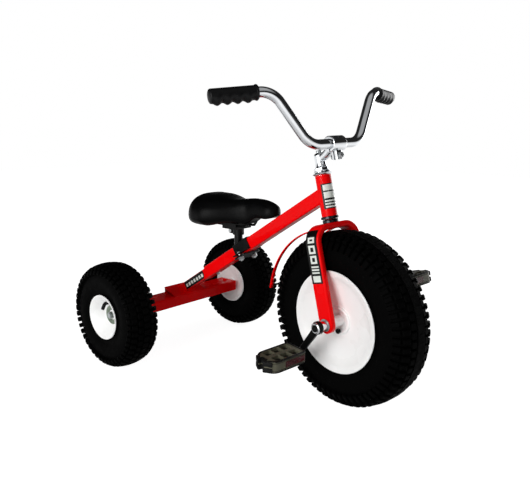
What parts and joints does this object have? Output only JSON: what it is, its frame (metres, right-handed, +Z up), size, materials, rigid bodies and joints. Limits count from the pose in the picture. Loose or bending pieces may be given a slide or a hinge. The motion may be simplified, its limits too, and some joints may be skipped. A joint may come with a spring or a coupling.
{
  "type": "tricycle",
  "caption": "Child's tricycle with a low tube frame, raised bar, sliding saddle, pedals on the front wheel and knobby pneumatic tyres on dished steel rims.",
  "frame": {"origin": "on the ground, midway between the rear and front ends and on the frame's middle plane", "axes": "+X forward, +Y to the rider's left, +Z up"},
  "size_m": [0.9005, 0.5572, 0.7175],
  "materials": {
    "red_paint": "gloss enamel",
    "white_paint": "gloss enamel",
    "chrome": "mirror plate",
    "zinc": "zinc plate",
    "bearing_steel": "polished",
    "black_steel": "satin black",
    "tyre_rubber": "matt, moulded",
    "grip_rubber": "satin",
    "saddle_vinyl": "satin vinyl over foam",
    "pedal_plastic": "moulded, matt",
    "reflector_plastic": "gloss"
  },
  "bodies": {
    "frame": {"main_frame": "red_paint", "rear_frame": "red_paint", "frame_bolt": "zinc", "upper_headset_cup": "chrome", "lower_headset_cup": "chrome", "rear_axle": "zinc", "right_rear_axle_nut": "zinc", "left_rear_axle_nut": "zinc"},
    "steering": {"fork": "red_paint", "fork_crown_race": "chrome", "lower_ball_ring": "bearing_steel", "upper_ball_ring": "bearing_steel", "upper_bearing_cone": "chrome", "headset_lock_nut": "chrome", "stem": "chrome", "stem_expander_bolt": "zinc", "stem_clamp_bolt": "zinc", "handlebar": "chrome", "right_grip": "grip_rubber", "left_grip": "grip_rubber", "right_guard_strap": "red_paint", "left_guard_strap": "red_paint", "guard_cross_bar": "black_steel", "right_axle_bush": "zinc", "left_axle_bush": "zinc"},
    "front_wheel": {"front_tyre": "tyre_rubber", "front_rim_right": "white_paint", "front_rim_left": "white_paint", "front_hub": "white_paint", "hub_drive_bolt": "black_steel", "crank_axle": "zinc", "right_crank": "black_steel", "left_crank": "black_steel", "right_crank_nut": "chrome", "left_crank_nut": "chrome", "right_pedal_spindle": "zinc", "left_pedal_spindle": "zinc"},
    "right_pedal": {"right_pedal_body": "pedal_plastic", "right_pedal_front_reflector": "reflector_plastic", "right_pedal_rear_reflector": "reflector_plastic"},
    "left_pedal": {"left_pedal_body": "pedal_plastic", "left_pedal_front_reflector": "reflector_plastic", "left_pedal_rear_reflector": "reflector_plastic"},
    "right_rear_wheel": {"right_rear_tyre": "tyre_rubber", "right_rear_rim": "white_paint", "right_rear_valve_stem": "grip_rubber"},
    "left_rear_wheel": {"left_rear_tyre": "tyre_rubber", "left_rear_rim": "white_paint", "left_rear_valve_stem": "grip_rubber"},
    "seat": {"saddle": "saddle_vinyl", "saddle_rails": "black_steel", "saddle_clamp": "black_steel", "saddle_clamp_bolt": "zinc", "seat_bracket": "black_steel", "seat_lower_plate": "black_steel", "seat_bolt_right": "zinc", "seat_bolt_left": "zinc", "seat_nut_right": "zinc", "seat_nut_left": "zinc"}
  },
  "joints": [
    {"name": "steering", "type": "hinge", "parent": "frame", "child": "steering", "pos_m": [0.25193, 0, 0.2], "axis": [-0.2419, 0, 0.9703], "range_deg": [-71.2, 88.8]},
    {"name": "front_wheel_spin", "type": "hinge", "parent": "steering", "child": "front_wheel", "pos_m": [0.25193, 0, 0.2], "axis": [0.1484, 0.9882, 0.037], "continuous": true},
    {"name": "right_pedal_spin", "type": "hinge", "parent": "front_wheel", "child": "right_pedal", "pos_m": [0.20093, 0.01022, 0.13151], "axis": [0.1484, 0.9882, 0.037], "continuous": true},
    {"name": "left_pedal_spin", "type": "hinge", "parent": "front_wheel", "child": "left_pedal", "pos_m": [0.30292, -0.01022, 0.26849], "axis": [0.1484, 0.9882, 0.037], "continuous": true},
    {"name": "right_rear_wheel_spin", "type": "hinge", "parent": "frame", "child": "right_rear_wheel", "pos_m": [-0.31207, -0.233, 0.1375], "axis": [0, 1, 0], "continuous": true},
    {"name": "left_rear_wheel_spin", "type": "hinge", "parent": "frame", "child": "left_rear_wheel", "pos_m": [-0.31207, 0.233, 0.1375], "axis": [0, 1, 0], "continuous": true},
    {"name": "seat_slide", "type": "slide", "parent": "frame", "child": "seat", "axis": [0.8415, 0, 0.5402], "range_m": [-0.05, 0.08]}
  ]
}
